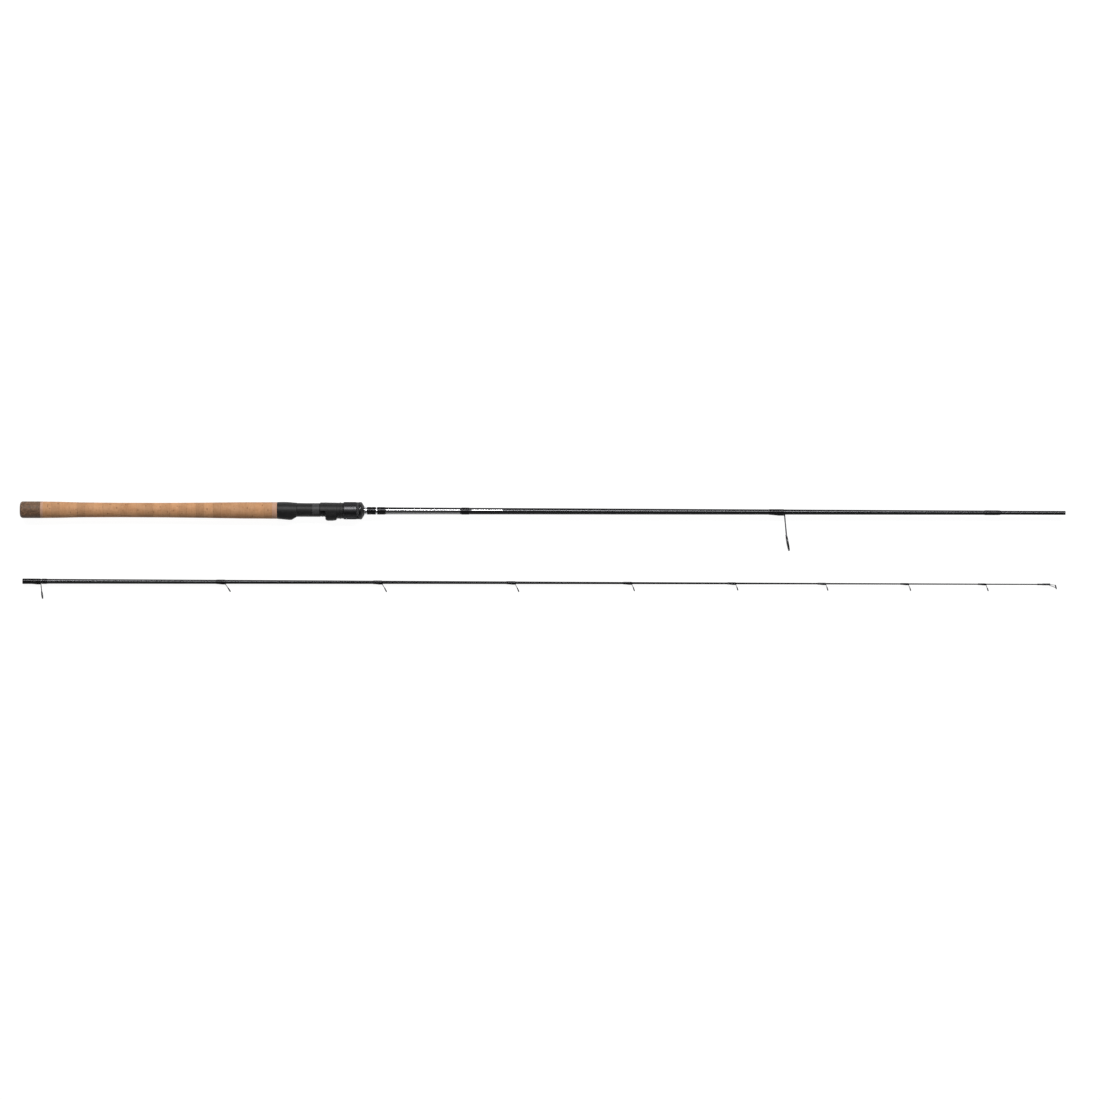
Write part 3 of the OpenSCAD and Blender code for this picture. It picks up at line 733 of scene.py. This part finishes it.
def turned_piece(name, outline, radius, slot, body, node, turns=96, finish=None):
    """A turned piece on the butt section's axis, with its corners rounded to a radius."""
    mesh = lathe(soften(outline, radius, 7), turns)
    piece(name, mesh, BUTT, mat[finish or slot], body, [node], slot)


turned_piece("cap_accent",
             [(31, 6.3), (31, 12.55), (33, 12.6), (35, 12.52), (35, 6.3)],
             0.12, "accent_cork", "butt_section", "cap_accent_ring")
turned_piece("grip_front_accent",
             [(381, 6.1), (381, 12.46), (384.5, 12.5), (388, 12.5), (388, 6.1)],
             0.15, "accent_cork", "butt_section", "grip_front_ring")

# ---------------------------------------------------------------- reel seat

# Outlines of (station, radius), and FIXED_SIDE of (station, y): the fixed hood seen from the side
REAR = soften(
    [(388, 5), (388, 12.35), (389, 12.8), (397, 13), (405, 12.85), (411, 12.3), (418, 11.55), (418, 5)], 1.2)
SLEEVE = soften([(409, 4), (409, 10.65), (430, 10.3), (453, 10.3), (453, 4)], 0.25)
CORE = soften([(398, 4), (398, 9.4), (453.4, 9.4), (453.4, 4)], 0.1)
FIXED_SIDE = soften(
    [(390, -4), (390, -12.2), (403, -14.2), (406, -14.7), (409.3, -14.7), (417.5, -9.3), (417.5, -4)], 1.4)
# The hoods are round about axes that lie nearer the reel's foot than the seat's axis does
FIXED_HOOD_AXIS, FIXED_HOOD_R = 3.7, 11
SLIDE_HOOD_AXIS, SLIDE_HOOD_R = 4.0, 11.6
# Each foot tunnel is widest at its mouth. It is closed at its end and has straight sides
FIXED_TUNNEL_END, SLIDE_TUNNEL_END = 396, 474
TUNNEL_HALF, TUNNEL_FLOOR = 8.2, 4.0
BAND_START, BAND_END = 441, 452
SEAT_BORE = 7.4


def seat_shell(x, y, z):
    """The seat's rear end, fixed hood and bed, with the foot's tunnel and the band's groove cut out."""
    radius = np.hypot(y, z)
    lifted = np.hypot(y - SLEEVE_LIFT, z)
    from_hood_axis = np.hypot(y + FIXED_HOOD_AXIS, z)
    hood = smooth_max(polygon_field(FIXED_SIDE, x, y), from_hood_axis - FIXED_HOOD_R, 1.6)
    outer = smooth_min(polygon_field(REAR, x, radius), hood, 1.2)
    outer = smooth_min(outer, polygon_field(SLEEVE, x, lifted), 0.9)
    roof = from_hood_axis - (7.4 + 2.5 * (x - FIXED_TUNNEL_END) / 23.5)
    tunnel = np.maximum.reduce([roof, np.abs(z) - TUNNEL_HALF, y + TUNNEL_FLOOR, FIXED_TUNNEL_END - x])
    solid = smooth_max(outer, -tunnel, 0.35)
    solid = smooth_min(solid, polygon_field(CORE, x, radius), 0.3)
    groove = np.maximum.reduce([9.9 - lifted, BAND_START - x, x - BAND_END, -5.5 - y])
    solid = np.maximum(solid, -groove)
    return smooth_max(solid, SEAT_BORE - radius, 0.1)


def seat_band_form(x, y, z):
    """The grey band inlaid round the bed."""
    lifted = np.hypot(y - SLEEVE_LIFT, z)
    skin = smooth_max(lifted - 10.36, 10.0 - lifted, 0.08)
    ends = smooth_max(BAND_START + 0.1 - x, x - BAND_END + 0.1, 0.3)
    return smooth_max(smooth_max(skin, ends, 0.12), -5.4 - y, 0.2)


detail = 0.32
piece("reel_seat_shell", field_mesh(seat_shell, (387, -16, -14.5), (454.5, 14.5, 14.5), detail), BUTT,
      mat["seat_black"], "butt_section", ["seat_body"], "seat_black")
piece("reel_seat_band", field_mesh(seat_band_form, (440, -7, -11.5), (453, 12.5, 11.5), 0.2), BUTT,
      mat["seat_grey"], "butt_section", ["seat_band"], "seat_grey")


BARREL_START, BARREL_END = 453.4, 513.0
THREAD_START, THREAD_END = 454.2, 512
THREAD_ROOT, THREAD_DEPTH = 8.9, 0.6
KEYWAY_FLOOR, KEYWAY_HALF = 8.3, 2.15


def threaded_barrel():
    """The seat's barrel with a right-hand thread and the keyway that keeps the hood from turning."""
    turns = 144
    stations = np.arange(BARREL_START, BARREL_END + 0.01, 0.2)
    angle = np.arange(turns) / turns * TAU
    s, a = np.meshgrid(stations, angle, indexing="ij")
    phase = np.mod((s - 454) / THREAD_PITCH - a / TAU, 1.0)
    tooth = np.clip((0.4 - np.abs(phase - 0.5)) / 0.28, 0, 1)
    fade = np.clip(np.minimum(s - THREAD_START, THREAD_END - s) / 1.2, 0, 1)
    radius = THREAD_ROOT + THREAD_DEPTH * tooth * fade
    across = np.abs(radius * np.sin(a))
    floor_r = KEYWAY_FLOOR / np.maximum(np.cos(a), 0.3)
    slot_depth = np.clip((KEYWAY_HALF - across) / 0.3, 0, 1) * (np.cos(a) > 0)
    radius = radius + (np.minimum(radius, floor_r) - radius) * slot_depth
    radius[[0, -1]] -= 0.15
    bore = np.full((2, turns), SEAT_BORE)
    return swept(np.concatenate([stations, [BARREL_END, BARREL_START]]), np.concatenate([radius, bore]))


piece("reel_seat_barrel", threaded_barrel(), BUTT,
      mat["seat_black"], "butt_section", ["seat_body"], "seat_black")

ARCH = soften([(453, 11.6), (453, 12.3), (463, 12.3), (463, 11.6)], 0.2)
BARREL = soften([(461, 9), (461, 12.3), (478, 12.1), (478, 9)], 0.25)
SLIDE_SIDE = soften(
    [(461, 2), (461, -12.8), (462.2, -14.6), (464.5, -15.6), (471, -15.6), (477.3, -14.4), (478, -12.5),
     (478, 2)], 1.3)


def sliding_hood_form(x, y, z):
    """The hood that slides on the barrel, with the arch behind it and its key inside."""
    radius = np.hypot(y, z)
    from_hood_axis = np.hypot(y + SLIDE_HOOD_AXIS, z)
    arch = smooth_max(polygon_field(ARCH, x, radius), -0.8 - y, 0.4)
    barrel = polygon_field(BARREL, x, radius)
    hood = smooth_max(polygon_field(SLIDE_SIDE, x, y), from_hood_axis - SLIDE_HOOD_R, 1.2)
    hood = np.maximum(hood, y - 1)
    outer = smooth_min(smooth_min(barrel, hood, 0.8), arch, 0.5)
    roof = from_hood_axis - (10.1 - 2.3 * (x - 460) / 14)
    tunnel = np.maximum.reduce([roof, np.abs(z) - TUNNEL_HALF, y + TUNNEL_FLOOR, x - SLIDE_TUNNEL_END])
    bore = np.minimum(np.maximum(radius - 11.6, x - 472), radius - 9.8)
    solid = smooth_max(outer, -np.minimum(tunnel, bore), 0.14)
    key = np.maximum.reduce([472.2 - x, x - 477.9, 8.6 - y, y - 10.8, np.abs(z) - 1.7])
    return smooth_min(solid, key, 0.2)


detail = 0.25
piece("sliding_hood_shell", field_mesh(sliding_hood_form, (452, -17, -13.5), (479, 13.5, 13.5), detail), BUTT,
      mat["seat_black"], "hood", ["sliding_hood"], "seat_black")
turned_piece("hood_collar_ring",
             [(478.02, 9.8), (478.02, 11.9), (478.6, 12), (482.4, 12), (482.7, 12.5), (484, 12.5),
              (484.3, 12), (487.2, 12), (487.7, 11.7), (487.7, 9.8)],
             0.18, "nut_black", "hood", "hood_collar", finish="seat_black")
turned_piece("lock_nut_body",
             [(488, 9.8), (488, 12.2), (489, 13.1), (507.4, 13.1), (508, 12.8), (508.05, 12.2),
              (511.55, 12.2), (511.6, 12.9), (512.1, 13.1), (512.7, 12.9), (512.7, 9.8)],
             0.45, "nut_black", "nut", "lock_nut", turns=128)


def grip_band():
    """The nut's rubber band with fine ribs across it."""
    stations = np.array([508.1, 508.12, 508.35, 509, 509.8, 510.6, 511.25, 511.48, 511.5])
    skin = np.array([12.3, 12.55, 12.72, 12.8, 12.8, 12.8, 12.72, 12.55, 12.3])
    ribs, rib_depth = 72, 0.28
    turns = 6 * ribs
    rib = 0.5 + 0.5 * np.cos(np.arange(turns) / turns * TAU * ribs)
    cut = rib_depth * np.clip((skin - skin[0]) / 0.5, 0, 1)
    radius = skin[:, None] - cut[:, None] * rib[None] ** 2
    bore = np.full((2, turns), 12.24)
    return swept(np.concatenate([stations, stations[[-1, 0]]]), np.concatenate([radius, bore]))


piece("nut_grip_ribs", grip_band(), BUTT, mat["rubber"], "nut", ["nut_grip_band"], "rubber")

# ---------------------------------------------------------------- front of the handle

turned_piece("seat_trim",
             [(513.02, 7), (513.02, 13.3), (513.3, 13.45), (513.8, 13.45), (514, 13.3), (514, 7)],
             0.1, "silver_trim", "butt_section", "seat_trim_ring", finish="black_chrome")
turned_piece("seat_flange",
             [(514.02, 6), (514.02, 13.3), (515.2, 13.1), (516.6, 11.6), (519.4, 6.9), (519.5, 6.5),
              (519.5, 6)],
             0.7, "seat_black", "butt_section", "seat_front_flange")
turned_piece("winding_check_ring",
             [(519.5, 5.5), (519.5, 6.45), (519.8, 6.6), (520.7, 6.58), (520.9, 6.3), (521.1, 6.3),
              (521.3, 6.55), (522.1, 6.5), (523.4, 5.95), (523.6, 5.7), (523.6, 5.5)],
             0.1, "silver_trim", "butt_section", "winding_check")
turned_piece("wrap_trim_band",
             [(537, 5.37), (537, 5.65), (537.2, 5.74), (537.9, 5.74), (538, 5.68), (538.1, 5.74),
              (538.8, 5.74), (539, 5.65), (539, 5.37)],
             0.05, "silver_trim", "butt_section", "silver_trim_ring", turns=64)

# ---------------------------------------------------------------- thread wraps


WRAP_ROUND = 1.3  # the varnish thins out over this length at each end
WRAP_EDGE = np.array([0, 0.08, 0.3, 0.6])
THREAD_LAY = 0.64


def wrap_mesh(a, b, radius_of, foot=0.0, foot_width=0.0, foot_from=0.0, turns=72):
    """Thread and varnish from a to b: rounded ends, shallow turns, and a hump over a guide's foot."""
    middle = np.linspace(a + 0.9, b - 0.9, max(24, int((b - a) / 0.32)))
    stations = np.unique(np.concatenate([a + WRAP_EDGE, middle, b - WRAP_EDGE]))
    angle = np.arange(turns) / turns * TAU
    s, t = np.meshgrid(stations, angle, indexing="ij")
    base = np.array([radius_of(v) for v in stations])[:, None]
    end = np.clip(np.minimum(s - a, b - s) / WRAP_ROUND, 0, 1)
    cover = 0.05 + (WRAP - 0.06) * np.sqrt(1 - (1 - end) ** 2)
    round_r = base + cover + 0.008 * np.cos(TAU * s / THREAD_LAY + t)
    radius = round_r
    if foot:
        rise = np.clip((s - foot_from) / ((b - foot_from) * 0.6), 0, 1)
        far = base + foot * rise + cover
        side = np.abs(t - math.pi)
        half = np.arctan2(foot_width / 2, far)
        reach = np.arccos(np.clip(round_r / np.maximum(far, round_r + 1e-6), -1, 1))
        past = np.clip(side - half, 0, None)
        slope = round_r / np.cos(np.clip(reach - past, 0, 1.4))
        hump = np.minimum(np.where(past < reach, slope, round_r), far)
        radius = np.maximum(round_r, hump)
    inner = np.repeat([[radius_of(b)], [radius_of(a)]], turns, 1) + 0.01
    return swept(np.concatenate([stations, [b, a]]), np.concatenate([radius, inner]))


def wrap_piece(name, section, spans, body, node, foot=(), turns=72):
    """One or more wraps on a blank. A foot is its thickness, its width and the station where it begins."""
    radius_of = butt_r if section is BUTT else tip_r
    parts = [wrap_mesh(a, b, radius_of, *foot, turns=turns) for a, b in spans]
    piece(name, join_parts(parts), section, mat["wrap"], body, [node], "wrap")


wrap_piece("handle_thread_wraps", BUTT, [(523.62, 530.2), (530.3, 536.98), (539.02, 551)],
           "butt_section", "handle_wraps")
wrap_piece("label_end_thread_wrap", BUTT, [(666, 678)], "butt_section", "label_end_wrap")
wrap_piece("butt_ferrule_thread_wrap", BUTT, [(1455.6, 1479.8)], "butt_section", "butt_ferrule_wrap")

# ---------------------------------------------------------------- guides

# Each guide's station, its ring frame's radius and the ring's lean. The stripper guide comes first
GUIDES = [(1154, 12.4, 10.5), (28, 6, 8), (307, 3.75, 33), (544, 3.75, 28), (745, 3.5, 24), (921, 3.25, 20),
          (1078, 3, 18), (1214, 3, 18), (1339, 2.75, 18), (1456, 2.75, 18)]
LEG_SPREAD = math.radians(50)


def ring_middle(node, section):
    """A guide ring's centre, in millimetres round the section's origin."""
    low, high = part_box(node)
    return (np.array((low + high) / 2) - section) / MM


def ceramic_outline(outer, thick, width):
    """A ring's section: a flat seat outside and a smooth round run for the line inside."""
    half = width / 2
    inner = outer - thick
    arc = [(half * math.cos(a), inner + half - half * math.sin(a)) for a in np.linspace(0.0, math.pi, 21)]
    arc = [(s, min(r, outer)) for s, r in arc]
    run = [p for p in arc if p[1] < outer - 0.02]
    return soften([(-half * 0.93, outer), (half * 0.93, outer)] + run, 0.06, 3)


def insert_of(big, band, width, turns, centre, lean):
    """A ceramic ring that sits in a ring frame of outer radius big."""
    outline = ceramic_outline(big - band - 0.02, 0.35 + 0.165 * big, width)
    return tilted(lathe(outline, turns), centre, lean)


def guide(number, body, section, radius_of, names):
    """A guide's wire frame, its ceramic ring and the thread over its foot, which all grow with the ring."""
    station, big, lean = GUIDES[number]
    frame_node, ring_node, wrap_node = names
    r = radius_of(station)
    centre = ring_middle(ring_node, section)
    band = 0.3 + 0.055 * big
    width = 0.9 + 0.14 * big
    wire = 0.31 + 0.05 * big
    foot_t = 0.4 + 0.06 * big
    foot_l = 7 + 1.1 * big
    foot_w = 1.6 + 0.12 * big
    wrap_l = foot_l + 3
    c, s = math.cos(math.radians(lean)), math.sin(math.radians(lean))
    reach = big - band / 2
    up, out = reach * math.cos(LEG_SPREAD), reach * math.sin(LEG_SPREAD)
    foot_y = -r - foot_t / 2
    ends = [np.array([centre[0] - up * s, centre[1] + up * c, k * out]) for k in (-1, 1)]
    starts = [np.array([station - 0.4, foot_y, k * 0.55]) for k in (-1, 1)]
    low = np.array([station - foot_l - 1, ends[0][1] - wire - 0.6, ends[0][2] - wire - 0.6])
    high = np.array([max(station, ends[0][0]) + wire + 1, 1.0, ends[1][2] + wire + 0.6])

    def form(x, y, z):
        along = (x - centre[0]) * c + (y - centre[1]) * s
        across = np.hypot(-(x - centre[0]) * s + (y - centre[1]) * c, z)
        legs = np.full(np.shape(x), FAR)
        for p, q in zip(starts, ends):
            bend = p + np.array([0.4 * wire, -0.4 * foot_t - 0.5, 0])
            leg = smooth_min(rod_field(x, y, z, p, bend, wire * 1.15, wire),
                             rod_field(x, y, z, bend, q, wire, wire * 0.85), wire * 0.5)
            legs = smooth_min(legs, leg, wire * 0.8)
        inside = np.maximum(across - (big - band), np.abs(along) - 2 * width)
        legs = np.maximum(legs, -inside)
        grow = np.clip((x - (station - foot_l)) / (foot_l * 0.6), 0, 1)
        half_t = 0.09 + (foot_t / 2 - 0.09) * grow
        half_w = foot_w / 2 * (0.55 + 0.45 * grow)
        middle = -r - half_t + 0.02
        plate = smooth_max(np.abs(y - middle) - half_t, np.abs(z) - half_w, 0.15)
        plate = smooth_max(plate, smooth_max(station - foot_l - x, x - station - wire * 0.6, 0.1), 0.2)
        return smooth_max(smooth_min(legs, plate, wire * 0.7), r - 0.02 - np.hypot(y, z), 0.02)

    step = 0.1 + 0.015 * big
    parts = [field_mesh(form, low, high, step), tilted(hoop(big, band, width), centre, lean)]
    piece(frame_node + "_wire", join_parts(parts), section, mat["guide_metal"], body, [frame_node],
          "guide_metal", sharp=50)
    piece(ring_node + "_insert", insert_of(big, band, width + 0.4, 96 if big > 5 else 64, centre, lean),
          section, mat["ceramic"], body, [ring_node], "ceramic")
    if number == 1:
        wrap_piece(wrap_node + "_thread", section, [(29.4, 37.0)], body, wrap_node, turns=48)
    else:
        behind = station - wire - 0.15
        wrap_piece(wrap_node + "_thread", section, [(station - wrap_l, behind)], body, wrap_node,
                   (foot_t, foot_w, station - foot_l))


guide(0, "butt_section", BUTT, butt_r, ("stripper_frame", "stripper_ring", "stripper_wrap"))
for i in range(1, 10):
    guide(i, "tip_section", TIP, tip_r, (f"guide_{i}_frame", f"guide_{i}_ring", f"guide_{i}_wrap"))
wrap_piece("tip_ferrule_thread_wrap", TIP, [(0.25, 27.1)],
           "tip_section", "tip_ferrule_wrap", (0.76, 2.3, 14.4))
wrap_piece("tip_top_thread_wrap", TIP, [(1532.6, 1540.5)], "tip_section", "tip_top_wrap", turns=48)

# Tip-top: a short tube and a ring held out by two pairs of wire arms
TOP_R, TOP_BAND, TOP_LEAN, TOP_WIDTH = 3.5, 0.45, 14.0, 1.4
TOP_TUBE = [(1540.6, 0.9), (1540.6, 1.5), (1552.6, 1.5), (1552.6, 0.9)]
TOP_ROOT = 1550.1
# For each pair, y and z where an arm leaves the tube, and the turn round the ring to where it ends
TOP_ARMS = [(-0.1, 1.3, 30), (-0.9, 1.0, 108)]
top_centre = ring_middle("tip_top_ring", TIP)


def tip_top_form(x, y, z):
    """The arms, cut clear of the ring's hole and of the blank."""
    c, s = math.cos(math.radians(TOP_LEAN)), math.sin(math.radians(TOP_LEAN))
    dx, dy = x - top_centre[0], y - top_centre[1]
    along = dx * c + dy * s
    across = np.hypot(-dx * s + dy * c, z)
    side = TOP_R - TOP_BAND / 2
    wires = FAR
    for k in (-1, 1):
        for from_y, from_z, turn in TOP_ARMS:
            up, out = side * math.cos(math.radians(turn)), side * math.sin(math.radians(turn))
            end = (top_centre[0] - up * s, top_centre[1] + up * c, k * out)
            arm = rod_field(x, y, z, (TOP_ROOT, from_y, k * from_z), end, 0.46, 0.42)
            wires = smooth_min(wires, arm, 0.2)
    wires = np.maximum(wires, -np.maximum(across - (TOP_R - TOP_BAND), np.abs(along) - 0.9))
    return smooth_max(wires, 0.89 - np.hypot(y, z), 0.02)


top_tube = lathe(soften(TOP_TUBE, 0.2), 64)
detail = 0.14
top_wires = field_mesh(tip_top_form, (1549.0, -9.2, -4.4), (1564.5, 2.2, 4.4), detail)
top_hoop = tilted(hoop(TOP_R, TOP_BAND, TOP_WIDTH), top_centre, TOP_LEAN)
piece("tip_top_wire", join_parts([top_tube, top_wires, top_hoop]), TIP,
      mat["guide_metal"], "tip_section", ["tip_top_frame"], "guide_metal", sharp=50)
piece("tip_top_insert", insert_of(TOP_R, TOP_BAND, 1.7, 64, top_centre, TOP_LEAN),
      TIP, mat["ceramic"], "tip_section", ["tip_top_ring"], "ceramic")

# ---------------------------------------------------------------- floor

REACH = 12.0
FLOOR_GAP = 0.0002
corners = [(-REACH, -REACH, 0), (REACH, -REACH, 0), (REACH, REACH, 0), (-REACH, REACH, 0)]
floor_data = bpy.data.meshes.new("floor")
floor_data.from_pydata(corners, [], [(0, 1, 2, 3)])
floor_shader = Shader("paper_floor", Roughness=0.9, Specular_IOR_Level=0.1, Emission_Strength=0.96,
                      Emission_Color=(1, 1, 1, 1))
floor_shader.colour((0.12, 0.12, 0.12, 1))
floor_data.materials.append(floor_shader.material)
floor_object = bpy.data.objects.new("floor", floor_data)
bpy.context.scene.collection.objects.link(floor_object)
floor_object.location.z = cad_box[0].z - FLOOR_GAP
